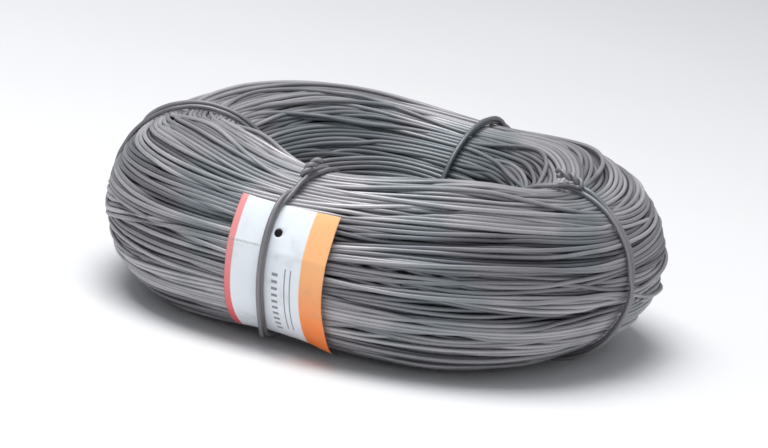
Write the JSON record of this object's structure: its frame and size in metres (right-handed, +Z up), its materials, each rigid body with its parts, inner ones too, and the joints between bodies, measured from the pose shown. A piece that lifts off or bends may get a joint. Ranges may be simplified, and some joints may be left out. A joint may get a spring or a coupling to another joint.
{
  "type": "wire coil",
  "caption": "Coil of black annealed wire lying flat, its bundle drawn in by twisted wire ties, with a blank printed label held under one tie",
  "frame": {"origin": "on the floor under the middle of the coil, on the axis of its eye", "axes": "+Z up along the axis of the coil, -Y towards the front, which has the label left of its middle, +X to the right seen from the front"},
  "size_m": [0.3222, 0.3228, 0.111],
  "materials": {
    "coil_wire": "black annealed, dull oxide",
    "tie_wire": "black annealed, dull oxide",
    "label_sheet": "printed, matt"
  },
  "bodies": {
    "root": {"wire_coil": "coil_wire", "tie_front": "tie_wire", "tie_right": "tie_wire", "tie_back": "tie_wire", "tie_left": "tie_wire", "label": "label_sheet"}
  },
  "joints": []
}
